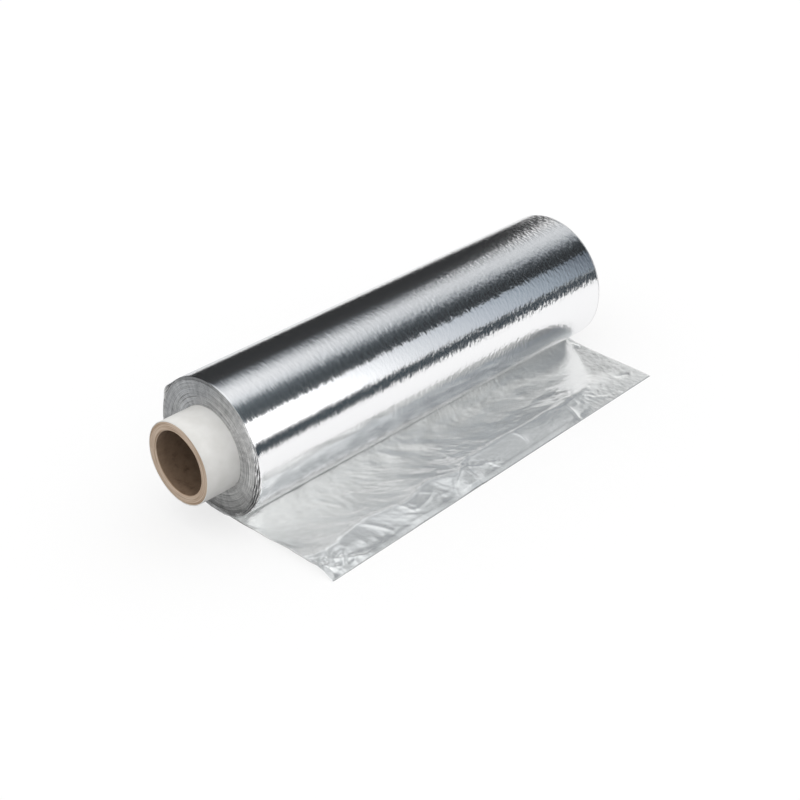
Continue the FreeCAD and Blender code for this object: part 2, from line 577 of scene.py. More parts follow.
@dataclass(frozen=True)
class BoardEnd(Finish):
    """The cut end of the board tube.

    The saw leaves the plies' torn fibres, paler than the liner, with thin lines of glue between the plies.
    """

    name: str = "kraft_board_end"
    colour: str = "#C9B29C"
    pale: str = "#DCC9B6"
    dark: str = "#A88E76"
    roughness: float = 0.9
    ior: float = 1.45
    ply: float = 0.55
    ply_length: float = 30.0
    fibre_size: float = 0.5
    fibre_depth: float = 0.05

    def fill(self, tree: bpy.types.NodeTree) -> bpy.types.NodeSocket:
        """Adds the plies, which read the radius from the flat map, and the torn fibres.

        Args:
            tree: the material's nodes.

        Returns:
            The shader.
        """
        flat = add_node(tree, "ShaderNodeUVMap", uv_map="flat_mm")
        stretched = add_node(
            tree,
            "ShaderNodeMapping",
            values={"Scale": (1 / self.ply, 1 / self.ply_length, 1)},
            links={"Vector": flat.outputs["UV"]},
        )
        plies = add_node(
            tree,
            "ShaderNodeTexNoise",
            values={"Scale": 1.0, "Detail": 2.0},
            links={"Vector": stretched.outputs["Vector"]},
            noise_dimensions="2D",
        )
        brown = add_node(
            tree,
            "ShaderNodeValToRGB",
            links={"Fac": plies.outputs["Fac"]},
            stops=[(0.3, self.dark), (0.7, self.pale), (0.48, self.colour)],
        )
        place = add_node(tree, "ShaderNodeTexCoord")
        fibres = add_node(
            tree,
            "ShaderNodeTexNoise",
            values={"Scale": 1 / (self.fibre_size * MM), "Detail": 3.0},
            links={"Vector": place.outputs["Object"]},
        )
        torn = add_node(
            tree,
            "ShaderNodeBump",
            values={"Strength": 1.0, "Distance": self.fibre_depth * MM},
            links={"Height": fibres.outputs["Fac"]},
        )
        board = add_node(
            tree,
            "ShaderNodeBsdfPrincipled",
            values={"Roughness": self.roughness, "IOR": self.ior},
            links={"Base Color": brown.outputs["Color"], "Normal": torn.outputs["Normal"]},
        )
        return board.outputs["BSDF"]


@dataclass(frozen=True)
class WhitePaper(Finish):
    """White machine-finished paper, glued round the core. Calendering gives it a faint sheen."""

    name: str = "white_paper"
    colour: str = "#F4F3F0"
    shade: str = "#ECEBE7"
    roughness: float = 0.5
    ior: float = 1.5
    cloud_size: float = 9.0
    fibre_size: float = 0.5
    fibre_depth: float = 0.015

    def fill(self, tree: bpy.types.NodeTree) -> bpy.types.NodeSocket:
        """Adds the paper's faint clouds, its fibres and the paper.

        Args:
            tree: the material's nodes.

        Returns:
            The shader.
        """
        place = add_node(tree, "ShaderNodeTexCoord")
        clouds = add_node(
            tree,
            "ShaderNodeTexNoise",
            values={"Scale": 1 / (self.cloud_size * MM), "Detail": 3.0},
            links={"Vector": place.outputs["Object"]},
        )
        white = add_node(
            tree,
            "ShaderNodeValToRGB",
            links={"Fac": clouds.outputs["Fac"]},
            stops=[(0.35, self.shade), (0.65, self.colour)],
        )
        fibres = add_node(
            tree,
            "ShaderNodeTexNoise",
            values={"Scale": 1 / (self.fibre_size * MM), "Detail": 2.0},
            links={"Vector": place.outputs["Object"]},
        )
        rough = add_node(
            tree,
            "ShaderNodeBump",
            values={"Strength": 1.0, "Distance": self.fibre_depth * MM},
            links={"Height": fibres.outputs["Fac"]},
        )
        paper = add_node(
            tree,
            "ShaderNodeBsdfPrincipled",
            values={"Roughness": self.roughness, "IOR": self.ior},
            links={"Base Color": white.outputs["Color"], "Normal": rough.outputs["Normal"]},
        )
        return paper.outputs["BSDF"]


@dataclass(frozen=True)
class RollFrame:
    """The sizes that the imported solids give."""

    near: float
    far: float
    radius: float
    axis_height: float
    core_near: float
    core_far: float
    core_radius: float
    bore_radius: float

    @classmethod
    def read(cls) -> "RollFrame":
        """Reads the sizes from the frame.

        Returns:
            The sizes, in millimetres.
        """
        foil_low, foil_high = (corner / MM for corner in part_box("foil"))
        core_low, core_high = (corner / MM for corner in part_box("core_cover"))
        bore = next(mount for mount in frame["record"]["mounts"] if mount["name"] == "core_bore")
        return cls(
            near=foil_low.x,
            far=foil_high.x,
            radius=foil_high.y,
            axis_height=foil_high.z - foil_high.y,
            core_near=core_low.x,
            core_far=core_high.x,
            core_radius=(core_high.z - core_low.z) / 2,
            bore_radius=bore["dims"]["r_mm"],
        )


def round_the_axis(size: RollFrame, places: np.ndarray, radii: np.ndarray, angles: np.ndarray) -> np.ndarray:
    """Turns a place along the roll, a radius and an angle to a point.

    The angle is taken from +Y towards +Z, so y is the radius times its cosine and z is the axis height plus
    the radius times its sine.

    Args:
        size: the roll's sizes.
        places: distance along the roll of each point.
        radii: distance from the axis of each point.
        angles: angle of each point, in radians.

    Returns:
        The points, with x, y and z along the last axis.
    """
    shape = np.broadcast(places, radii, angles).shape
    across = np.broadcast_to(radii * np.cos(angles), shape)
    up = np.broadcast_to(size.axis_height + radii * np.sin(angles), shape)
    return np.stack([np.broadcast_to(places, shape), across, up], axis=-1)


@dataclass(frozen=True)
class Ripple:
    """A smooth random unevenness: a sum of plane waves, or the size of that sum, which has sharp valleys."""

    sizes: tuple[float, float]
    height: float
    seed: int
    count: int = 24
    sharp: bool = False

    def rise(self, along: np.ndarray, across: np.ndarray, closes: float = 0) -> np.ndarray:
        """Works out the unevenness.

        Args:
            along: first coordinate of each point.
            across: second coordinate of each point.
            closes: length of the second coordinate after which it repeats, or 0.

        Returns:
            The height at each point.
        """
        field = waves(along, across, self.sizes, self.seed, self.count, closes)
        return self.height * (np.abs(field) if self.sharp else field)


@dataclass
class WoundFoil:
    """The wound turns: the bright outside, both ends with their rings, and the near end's slack turns.

    The surface is a list of rows, each with a place along the roll and a radius at every angle.
    """

    size: RollFrame
    columns: int = 200
    outside_rows: int = 290
    ring_step: float = 0.42
    near_rings: Ripple = Ripple((0.8, 120), 0.1, 3)
    far_rings: Ripple = Ripple((0.8, 120), 0.08, 23)
    far_inset: float = 0.1
    far_rim: float = 0.4
    slack_turns: int = 3
    slack_leaf: float = 0.5
    slack_shut: float = 0.1
    slack_gap: float = 1.2
    slack_floor: float = 0.12
    slack_depth: float = 6.0
    slack_shallower: float = 0.25
    slack_middle: float = 190.0
    slack_reach: float = 62.0
    slot_rows: int = 7
    lip_rows: int = 2
    lip_share: float = 0.8
    lip_proud: float = 0.45
    lip_torn: float = 0.5
    lip_bright: float = 0.04
    mouth_torn: float = 0.2
    torn: Ripple = Ripple((3, 7), 1.0, 11)
    torn_apart: float = 7.0
    wobble: Ripple = Ripple((3, 13), 0.3, 17)
    wobble_apart: float = 4.0
    rim: float = 0.15
    ripple: Ripple = Ripple((4, 7), 1.0, 5, count=40)
    ripple_depth: float = 0.012
    ripple_near: float = 0.3
    ripple_reach: float = 60.0
    flare_middle: float = 31.0
    flare_reach: float = 9.0
    flare_height: float = 2.1
    flare_width: float = 8.0
    flare_depth: float = 9.0
    flare_bright: float = 0.3

    def angles(self) -> np.ndarray:
        """The angles of the grid's columns, in radians."""
        return np.arange(self.columns) * TURN / self.columns

    def arc(self) -> np.ndarray:
        """The way round the outside to each of the grid's columns."""
        return self.angles() * self.size.radius

    def around(self) -> float:
        """The whole way round the outside."""
        return TURN * self.size.radius

    def opening(self) -> np.ndarray:
        """How far the slack turns stand apart at each angle: the square of a cosine within the reach.

        Returns:
            The share from 0 to 1 at each column.
        """
        off = np.degrees(self.angles()) - self.slack_middle
        off = (off + 180) % 360 - 180
        return np.where(abs(off) < self.slack_reach, np.cos(np.radians(off * 90 / self.slack_reach)) ** 2, 0)

    def lifted(self, places: np.ndarray) -> np.ndarray:
        """How far the outermost turn stands off where it was torn.

        It is a bell round the tear, which dies out along the roll as an exponential.

        Args:
            places: distance along the roll of each point, with the columns along the last axis.

        Returns:
            The distance at each point.
        """
        off = (np.degrees(self.angles()) - self.flare_middle) / self.flare_reach
        inside = np.maximum(places - self.size.near, 0) / self.flare_width
        return self.flare_height * np.exp(-(off**2)) * np.exp(-inside)

    def slot(self, number: int) -> list[tuple[np.ndarray, np.ndarray]]:
        """The slot inside a slack turn, and that turn's lip.

        A slot's mouth is slack_gap wide times the opening, and what lies inside it is pushed inwards by as
        much. The lip is torn, stands a little proud and lifts where the outermost turn does.

        Args:
            number: the turn's number, counted from the outside.

        Returns:
            The place along the roll and the radius of each row, from the inside out.
        """
        size = self.size
        opening = self.opening()
        outer = size.radius - number * (self.slack_leaf + self.slack_shut)
        outer = outer - (number - 1) * self.slack_gap * opening
        inner = outer - self.slack_shut - self.slack_gap * opening
        torn = opening * self.torn.rise(np.array(self.torn_apart * number), self.arc(), self.around())
        wobble = opening * self.wobble.rise(np.array(self.wobble_apart * number), self.arc(), self.around())
        shallower = 1 - self.slack_shallower * (number - 1)
        face = size.near + self.mouth_torn * torn
        floor = size.near + self.slack_floor + self.slack_depth * shallower * opening
        lifts = float(number == 1)
        floor = floor + lifts * self.flare_depth * self.lifted(np.array(size.near)) / self.flare_height
        middle = (face + floor) / 2
        lip = face - np.maximum(self.lip_proud * opening + self.lip_torn * torn, 0)
        lip_radius = outer + wobble + lifts * self.lifted(face)
        return [
            (face, inner + wobble / 2),
            (middle, inner),
            (floor, inner),
            (floor, outer + lifts * self.lifted(floor)),
            (middle, outer + lifts * self.lifted(middle)),
            (lip, lip_radius),
            (lip, lip_radius + self.lip_share * self.slack_leaf),
        ]

    def near_end(self) -> list[tuple[np.ndarray, np.ndarray]]:
        """The near end, from the core out to the rim: rings at even steps, and then the slots.

        Each ring is moved a little along the roll. The slots push the rings inwards, by the square of the
        share of the way out.

        Returns:
            The place along the roll and the radius of each row.
        """
        size = self.size
        last = size.radius - self.slack_turns * (self.slack_leaf + self.slack_shut)
        count = round((last - size.core_radius) / self.ring_step)
        rows = []
        for ring in range(count):
            share = ring / count
            radius = size.core_radius + (last - size.core_radius) * share
            pushed = self.slack_turns * self.slack_gap * self.opening() * share**2
            moved = self.near_rings.rise(np.array(radius), self.arc(), self.around())
            rows.append((size.near + moved, radius - pushed))
        for number in range(self.slack_turns, 0, -1):
            rows += self.slot(number)
        return rows

    def outside(self) -> list[tuple[np.ndarray, np.ndarray]]:
        """The bright outside between the rims, with soft ripples that grow over the first stretch.

        Returns:
            The place along the roll and the radius of each row.
        """
        size = self.size
        places = np.linspace(size.near + self.rim, size.far - self.rim, self.outside_rows)[:, None]
        ripple = self.ripple.rise(places, self.arc()[None, :], self.around())
        grown = smooth(size.near, size.near + self.ripple_reach, places)
        depth = self.ripple_depth * (self.ripple_near + (1 - self.ripple_near) * grown)
        radii = size.radius - depth * (1 - ripple) + self.lifted(places)
        ones = np.ones(self.columns)
        near_rim = (size.near * ones, size.radius - self.rim + self.lifted(np.array(size.near)))
        far_rim = (size.far * ones, (size.radius - self.rim) * ones)
        return [near_rim, *zip(places * ones, radii), far_rim]

    def far_end(self) -> list[tuple[np.ndarray, np.ndarray]]:
        """The far end's rings, from the rim in to the core.

        Returns:
            The place along the roll and the radius of each row.
        """
        size = self.size
        count = round((size.radius - size.core_radius) / self.ring_step)
        rows = []
        for radius in np.linspace(size.radius - self.far_rim, size.core_radius, count):
            moved = self.far_rings.rise(np.array(radius), self.arc(), self.around())
            rows.append((size.far - self.far_inset + moved, radius * np.ones(self.columns)))
        return rows

    def build(self) -> bpy.types.Object:
        """Carries the rows round the axis, and gives every face its finish.

        Returns:
            The wound foil.
        """
        near_end = self.near_end()
        places, radii = (np.array(part) for part in zip(*near_end, *self.outside(), *self.far_end()))
        points = round_the_axis(self.size, places, radii, self.angles()[None, :])
        points[..., 2] = np.maximum(points[..., 2], 0)
        start = len(near_end)
        finishes = np.ones(places.shape)
        finishes[start:start + self.outside_rows] = 0
        # On the ends the flat map's first coordinate is the radius, and outside it is the place on the roll.
        first = np.where(finishes[:, :1] == 1, radii, places)
        # The lips of the slack turns show their bright side, and so does the torn turn.
        for end in range(start, start - self.slack_turns * self.slot_rows, -self.slot_rows):
            finishes[end - self.lip_rows:end] = self.opening() < self.lip_bright
        flared = self.lifted(np.array(self.size.near)) > self.flare_bright
        finishes[start - self.lip_rows:start, flared] = 0
        first = np.vstack([first, first[:1]])
        first = np.hstack([first, first[:, :1]])
        second = np.append(self.arc(), self.around())[None, :] * np.ones((len(first), 1))
        flat_map = np.stack([first, second], axis=-1)
        item = Surface("foil_wound", points, flat_map, finishes=finishes).build()
        item.data.materials.append(BrightFoil().material())
        item.data.materials.append(FoilEdges().material())
        return item


@dataclass(frozen=True)
class Crinkle:
    """A small sharp crease of the pulled length, bowed to one side between its two ends.

    Its height falls as the exponential of the distance from its line over its width, and dies out towards
    its ends as the root of a half sine.
    """

    start: tuple[float, float]
    finish: tuple[float, float]
    height: float = 0.3
    width: float = 0.9
    bow: float = 0.0

    def rise(self, x: np.ndarray, y: np.ndarray) -> np.ndarray:
        """Works out the crease's height.

        Args:
            x: place along the roll of each point.
            y: place across the roll of each point.

        Returns:
            The height at each point.
        """
        run = np.subtract(self.finish, self.start)
        length = np.hypot(*run)
        along = ((x - self.start[0]) * run[0] + (y - self.start[1]) * run[1]) / length**2
        off = ((y - self.start[1]) * run[0] - (x - self.start[0]) * run[1]) / length
        held = np.clip(along, 0, 1)
        away = np.hypot(off - 4 * self.bow * held * (1 - held), (along - held) * length)
        return self.height * np.exp(-away / self.width) * np.sqrt(np.sin(np.pi * held))


@dataclass(frozen=True)
class Patch:
    """A crumpled patch.

    Its depth is the size of a sum of plane waves, which has sharp valleys where the sum is nothing, within a
    bell round the patch's middle.
    """

    middle: tuple[float, float]
    reach: tuple[float, float]
    depth: float
    wavelength: float
    seed: int

    def rise(self, x: np.ndarray, y: np.ndarray) -> np.ndarray:
        """Works out the patch's height.

        Args:
            x: place along the roll of each point.
            y: place across the roll of each point.

        Returns:
            The height at each point.
        """
        off_x = (x - self.middle[0]) / self.reach[0]
        off_y = (y - self.middle[1]) / self.reach[1]
        creased = np.abs(waves(x, y, (self.wavelength, self.wavelength), self.seed))
        return -self.depth * np.exp(-(off_x**2) - off_y**2) * creased


@dataclass
class DrawnFoil:
    """The length pulled off towards the front.

    A profile is a list of points, each a distance out from under the axis and the height there. A run is
    two places between which something grows from nothing to all, along the roll, or outwards where its
    name says out. The gauge is thicker than the real 0.018 mm, so that the foil is a closed solid.
    """

    size: RollFrame
    reach_near: float = 99.6
    reach_far: float = 89.5
    tuck: float = 5.0
    lip_width: float = 3.6
    gauge: float = 0.12
    step: float = 0.82
    seat: float = 0.15
    ease: float = 1.2
    tucked: tuple[float, float] = (17.0, 3.0)
    leaves: tuple[float, float] = (20.0, 3.7)
    lowest: tuple[float, float] = (49.0, 0.93)
    ridge: tuple[float, float] = (76.0, 3.95)
    edge: tuple[float, float] = (96.0, 0.7)
    near_side: tuple[tuple[float, float], ...] = (
        (16, 1.2), (20, 1.1), (43.5, 2.2), (62.6, 3.9), (77, 4.1), (96, 0.8),
    )
    far_side: tuple[tuple[float, float], ...] = (
        (17, 2.8), (20, 2.8), (26, 1.8), (34, 1.15), (50, 0.6), (76, 0.6), (90, 0.5), (96, 0.25),
    )
    near_hold: float = 8.0
    far_run: tuple[float, float] = (52.0, 146.0)
    follows_until: float = 24.0
    fold_from: tuple[float, float] = (-41.0, -21.0)
    fold_to: tuple[float, float] = (34.0, -75.0)
    fold_drop: float = 1.3
    fold_width: float = 26.0
    fold_lead: float = 3.0
    fold_out: tuple[float, float] = (8.0, 62.0)
    sway: Ripple = Ripple((42, 42), 3.0, 61)
    sway_run: tuple[float, float] = (-30.0, 0.0)
    sway_out: tuple[float, float] = (50.0, 68.0)
    near_ripples: tuple[Ripple, ...] = (
        Ripple((40, 13), 0.12, 31, count=30),
        Ripple((17, 7), 0.09, 33, count=30, sharp=True),
    )
    far_ripples: tuple[Ripple, ...] = (
        Ripple((25, 17), 0.17, 37, count=30),
        Ripple((12, 8), 0.07, 39, count=30, sharp=True),
    )
    farther_run: tuple[float, float] = (-40.0, 20.0)
    farther_lean: float = 0.4
    strip_run: tuple[float, float] = (-12.0, 12.0)
    strip_out: tuple[float, float] = (70.0, 75.0)
    strip_near: float = 0.75
    strip_calm: float = 0.93
    corner_run: tuple[float, float] = (88.0, 112.0)
    corner_calm: float = 0.75
    rippled_out: tuple[float, float] = (8.0, 40.0)
    curl_place: float = 89.0
    curl_reach: float = 7.0
    curl_height: float = 2.4
    curl_width: float = 4.0

    def middle(self) -> list[tuple[float, float]]:
        """The middle's profile.

        Between the roll and the ridge the foil hangs as two half parabolas that meet at its lowest point:
        the height there, plus the rise to either end times the square of the share of the way to it.

        Returns:
            The profile's points.
        """
        low_at, low = self.lowest
        out = np.arange(self.leaves[0], self.ridge[0] + 1)
        top_at, top = np.where(out < low_at, np.array([self.leaves]).T, np.array([self.ridge]).T)
        level = low + (top - low) * ((out - low_at) / (top_at - low_at)) ** 2
        return [self.tucked, *zip(out, level), self.edge]

    def profile(self, out: np.ndarray, points: Sequence[tuple[float, float]]) -> np.ndarray:
        """Runs through a profile's points, with each corner eased: the mean of five shifted runs.

        Args:
            out: distance out of each place.
            points: the profile's points.

        Returns:
            The height at each place.
        """
        places, levels = zip(*points)
        return np.mean([np.interp(out + shift * self.ease, places, levels) for shift in range(-2, 3)], axis=0)

    def broad(self, x: np.ndarray, y: np.ndarray) -> np.ndarray:
        """The broad form: profiles for the middle and for both sides, and a step down past a long fold.

        The near side's profile takes over as the exponential of the distance from that side, and the far
        side's over far_run. Past the fold the height falls by fold_drop over fold_width. The ridge sways in
        and out over the near half.

        Args:
            x: place along the roll of each point.
            y: place across the roll of each point.

        Returns:
            The height at each point.
        """
        size = self.size
        share = (x - size.near) / (size.far - size.near)
        # Profiles are drawn for the longer near side, and shortened towards the far side.
        shorter = 1 - (1 - self.reach_far / self.reach_near) * share
        out = -y / shorter
        at_near = np.exp(-(x - size.near) / self.near_hold)
        at_far = smooth(*self.far_run, x)
        sway = self.sway.rise(x, np.zeros_like(x)) * (1 - smooth(*self.sway_run, x))
        height = self.profile(out + sway * smooth(*self.sway_out, out), self.middle())
        height = height + (self.profile(out, self.near_side) - height) * at_near
        height = height + (self.profile(out, self.far_side) - height) * at_far
        run = np.subtract(self.fold_to, self.fold_from)
        run = run / np.hypot(*run)
        beyond = -(x - self.fold_from[0]) * run[1] + (y - self.fold_from[1]) * run[0]
        fallen = smooth(-self.fold_lead, self.fold_width, beyond) * smooth(*self.fold_out, out) * (1 - at_far)
        height = height - self.fold_drop * fallen
        # Up to where it leaves the roll, the foil follows the turn above it.
        above = size.axis_height - np.sqrt(np.maximum(size.radius**2 - y**2, 0)) - self.seat
        return np.where(out < self.follows_until, np.minimum(height, above), height)

    def ripples(self, x: np.ndarray, y: np.ndarray) -> np.ndarray:
        """The soft ripples: long ones slantwise over the near half, clouded ones over the far half.

        The near ones are taken in coordinates turned by 45 degrees. All die out at the roll, in the smooth
        strip in front of the ridge and in the far corner.

        Args:
            x: place along the roll of each point.
            y: place across the roll of each point.

        Returns:
            The height at each point.
        """
        along = (x - y) * math.sqrt(0.5)
        across = (x + y) * math.sqrt(0.5)
        slant = sum(ripple.rise(along, across) for ripple in self.near_ripples)
        cloud = sum(ripple.rise(x, y) for ripple in self.far_ripples)
        farther = smooth(*self.farther_run, x + self.farther_lean * y)
        strip = self.strip_near + (1 - self.strip_near) * smooth(*self.strip_run, x)
        left = 1 - self.strip_calm * strip * smooth(*self.strip_out, -y)
        left = left * (1 - self.corner_calm * smooth(*self.corner_run, x)) * smooth(*self.rippled_out, -y)
        return (slant * (1 - farther) + cloud * farther) * left

    def creases(self, x: np.ndarray, y: np.ndarray) -> np.ndarray:
        """The crumpled patches, the single crinkles, and the side edge where it stands off the table.

        It stands off beside the near corner: a bell along the edge, which dies out from it as an exponential.

        Args:
            x: place along the roll of each point.
            y: place across the roll of each point.

        Returns:
            The height at each point.
        """
        bell = np.exp(-(((y + self.curl_place) / self.curl_reach) ** 2))
        total = self.curl_height * bell * np.exp(-(x - self.size.near) / self.curl_width)
        for crease in self.patches() + self.crinkles():
            total = total + crease.rise(x, y)
        return total

    def patches(self) -> list[Patch]:
        """Lists the crumpled patches, most of them along the front edge.

        Returns:
            The patches.
        """
        return [
            Patch((-134, -91), (17, 9), 0.55, 15.0, 51),
            Patch((-142, -86), (9, 9), 0.20, 7.0, 57),
            Patch((-104, -92), (20, 7), 0.10, 13.0, 52),
            Patch((-73, -87), (19, 8), 0.10, 11.0, 53),
            Patch((-45, -84), (12, 9), 0.07, 10.0, 54),
            Patch((-20, -75), (10, 8), 0.16, 8.0, 55),
            Patch((-3, -86), (7, 5), 0.10, 6.0, 56),
            Patch((98, -76), (16, 9), 0.07, 9.0, 58),
            Patch((88, -60), (8, 8), 0.06, 7.0, 59),
        ]

    def crinkles(self) -> list[Crinkle]:
        """Lists the single crinkles, most of them round a star where the foil was pinched.

        Returns:
            The crinkles.
        """
        return [
            Crinkle((-22, -76), (-16, -52), 0.55, 1.3, -2.0),
            Crinkle((-23, -75), (-20, -60), 0.30, 0.8, 1.5),
            Crinkle((-22, -76), (-37, -87), 0.45, 1.1, 1.0),
            Crinkle((-31, -80), (-42, -93), 0.35, 0.9, -1.0),
            Crinkle((-22, -76), (-24, -96), 0.45, 0.9, 1.8),
            Crinkle((-21, -76), (-6, -85), 0.42, 0.9, -1.0),
            Crinkle((-21, -75), (-9, -71), 0.32, 0.9, 0.6),
            Crinkle((-12, -74), (8, -74), 0.22, 0.9, 0.8),
            Crinkle((-10, -82), (4, -88), 0.36, 0.7, 0.4),
            Crinkle((-6, -83), (-1, -91), 0.32, 0.7, 0.4),
            Crinkle((-22, -76), (-34, -66), 0.32, 1.1, 1.0),
            Crinkle((-28, -73), (-52, -64), 0.24, 1.3, -1.6),
            Crinkle((28, -72), (29, -86), 0.36, 1.0, 2.6),
            Crinkle((80, -71), (72, -93), 0.46, 1.1, 2.6),
            Crinkle((84, -60), (88, -68), 0.26, 0.7, 0.4),
            Crinkle((90, -60), (95, -69), 0.26, 0.7, -0.5),
            Crinkle((97, -78), (112, -88), 0.22, 0.8, 0.6),
            Crinkle((104, -84), (120, -87), 0.18, 0.7, -0.4),
            Crinkle((132, -74), (142, -78), -0.30, 1.3, 0.3),
            Crinkle((-79, -75), (-73, -88), 0.42, 1.1, 1.2),
            Crinkle((-72, -87), (-51, -81), 0.36, 0.9, -1.5),
            Crinkle((-62, -76), (-50, -84), 0.32, 0.9, 0.8),
            Crinkle((-106, -74), (-94, -92), 0.38, 1.2, 1.2),
            Crinkle((-104, -44), (-97, -54), 0.20, 0.9, 0.6),
            Crinkle((-91, -46), (-84, -45), -0.22, 0.9, 0.2),
            Crinkle((-149, -79), (-112, -98), 0.70, 1.5, -2.0),
            Crinkle((-146, -90), (-128, -84), 0.45, 1.0, 0.8),
            Crinkle((-150, -84), (-140, -98), 0.55, 1.0, 1.2),
            Crinkle((143, -22), (147, -32), 0.40, 1.0, 0.5),
        ]

    def build(self) -> bpy.types.Object:
        """Lays the upper side and the underside on one grid, which closes round the cut edge and the tuck.

        Returns:
            The pulled length.
        """
        size = self.size
        width = size.far - size.near
        rows = round(width / self.step) + 1
        steps = round((self.reach_near - self.lip_width - self.tuck) / self.step)
        lip_steps = max(2, round(self.lip_width / self.step))
        share = np.linspace(0, 1, rows)[:, None] * np.ones((1, steps + 1))
        along = np.linspace(0, 1, steps + 1)[None, :] * np.ones((rows, 1))
        reach = self.reach_near + (self.reach_far - self.reach_near) * share
        x = size.near + share * width
        y = -(self.tuck + (reach - self.lip_width - self.tuck) * along)
        upper = self.broad(x, y) + self.ripples(x, y) + self.creases(x, y)
        down = np.linspace(0, 1, lip_steps + 1)[None, 1:]
        lip_y = y[:, -1:] - self.lip_width * down
        lip_z = upper[:, -1:] * (1 - down) + self.gauge * down
        y = np.hstack([y, lip_y])
        z = np.maximum(np.hstack([upper, lip_z]), self.gauge)
        x = x[:, :1] * np.ones_like(y)
        top = np.stack([x, y, z], axis=-1)
        under = top[:, ::-1].copy()
        under[..., 2] -= self.gauge
        points = np.hstack([top, under])
        flat = np.hstack([points[..., :2], points[:, :1, :2]])
        flat_map = np.vstack([flat, flat[:1]])
        item = Surface("foil_drawn", points, flat_map, caps=True).build()
        item.data.materials.append(SatinFoil().material())
        return item


@dataclass
class Core:
    """The board tube and the paper round it."""

    size: RollFrame
    columns: int = 160
    paper_wall: float = 0.5
    paper_rim: float = 0.15
    paper_inset: float = 0.05
    paper_lift: float = 0.02
    paper_rows: int = 40
    paper_uneven: Ripple = Ripple((1, 30), 0.03, 43)
    mouth_bevel: float = 0.6
    ply_step: float = 0.3
    plies: Ripple = Ripple((1, 30), 0.07, 41)
    end_reach: float = 1.0
    wall_rows: int = 60
    outside_inset: float = 0.4
    outside_rows: int = 12

    def sleeve(self, name: str, section: list[tuple[float, float]], uneven: Ripple, cut: int = 0) -> Surface:
        """Carries a section round the axis, with its two ends a little uneven.

        Args:
            name: the piece's name.
            section: places along the roll and radii, in order round the section.
            uneven: how far each place on an end is moved inwards or outwards.
            cut: how many rows at the section's start are a cut end, and as many again at the far end.

        Returns:
            The surface.
        """
        size = self.size
        angles = np.arange(self.columns) * TURN / self.columns
        place, radius = (np.array(column)[:, None] for column in zip(*section))
        arc = angles[None, :] * size.core_radius
        closes = TURN * size.core_radius
        on_end = (place < size.core_near + self.end_reach) | (place > size.core_far - self.end_reach)
        moved = np.where(on_end, uneven.rise(radius, arc, closes), 0)
        place = place + moved * np.where(place < 0, 1, -1)
        points = round_the_axis(size, place, radius, angles[None, :])
        rows = len(section)
        first = np.vstack([radius, radius[:1]]) * np.ones((1, self.columns + 1))
        second = np.append(arc[0], closes)[None, :] * np.ones((rows + 1, 1))
        finishes = np.zeros((rows, self.columns))
        if cut:
            last = np.flatnonzero(on_end[:, 0] & (place[:, 0] > 0))[-1]
            finishes[:cut] = 1
            finishes[last - cut:last + 1] = 1
            finishes[-1] = 1
        return Surface(name, points, np.stack([first, second], axis=-1), finishes=finishes)

    def board(self) -> bpy.types.Object:
        """Makes the board tube: its two cut ends, its outside and its bore, with bevelled mouths.

        Returns:
            The tube.
        """
        size = self.size
        radius = size.core_radius - self.paper_wall
        # Both ends stand back by twice what the plies are uneven by, so that none comes past the core's box.
        near = size.core_near + 2 * self.plies.height
        far = size.core_far - 2 * self.plies.height
        rings = np.arange(size.bore_radius + self.mouth_bevel, radius, self.ply_step)
        outside = np.linspace(
            size.core_near + self.outside_inset, size.core_far - self.outside_inset, self.outside_rows
        )
        wall = np.linspace(far - self.mouth_bevel, near + self.mouth_bevel, self.wall_rows)
        section = [(near, ring) for ring in rings]
        section += [(place, radius) for place in outside]
        section += [(far, ring) for ring in rings[::-1]]
        section += [(place, size.bore_radius) for place in wall]
        tube = self.sleeve("core_board", section, self.plies, len(rings)).build()
        tube.data.materials.append(KraftBoard().material())
        tube.data.materials.append(BoardEnd().material())
        return tube

    def paper(self) -> bpy.types.Object:
        """Makes the paper round the tube, with soft rims.

        Returns:
            The paper.
        """
        size = self.size
        inside = size.core_radius - self.paper_wall
        rim = self.paper_rim
        near = size.core_near + self.paper_inset
        far = size.core_far - self.paper_inset
        runs = np.linspace(size.core_near + rim, size.core_far - rim, self.paper_rows)
        section = [(near, inside + rim), (near, size.core_radius - rim)]
        section += [(place, size.core_radius) for place in runs]
        section += [(far, size.core_radius - rim), (far, inside + rim)]
        section += [(place, inside + self.paper_lift) for place in runs[::-1]]
        cover = self.sleeve("core_paper", section, self.paper_uneven).build()
        cover.data.materials.append(WhitePaper().material())
        return cover


def stage_sheet(
    name: str, corners: list[tuple[float, float, float]], finish: bpy.types.Material
) -> bpy.types.Object:
    """Makes a flat four-cornered stage object.

    Args:
        name: its name.
        corners: its corners, in millimetres.
        finish: its material.

    Returns:
        The object.
    """
    mesh = bpy.data.meshes.new(name)
    mesh.from_pydata([Vector(corner) * MM for corner in corners], [], [(0, 1, 2, 3)])
    mesh.materials.append(finish)
    item = bpy.data.objects.new(name, mesh)
    bpy.context.scene.collection.objects.link(item)
    return item


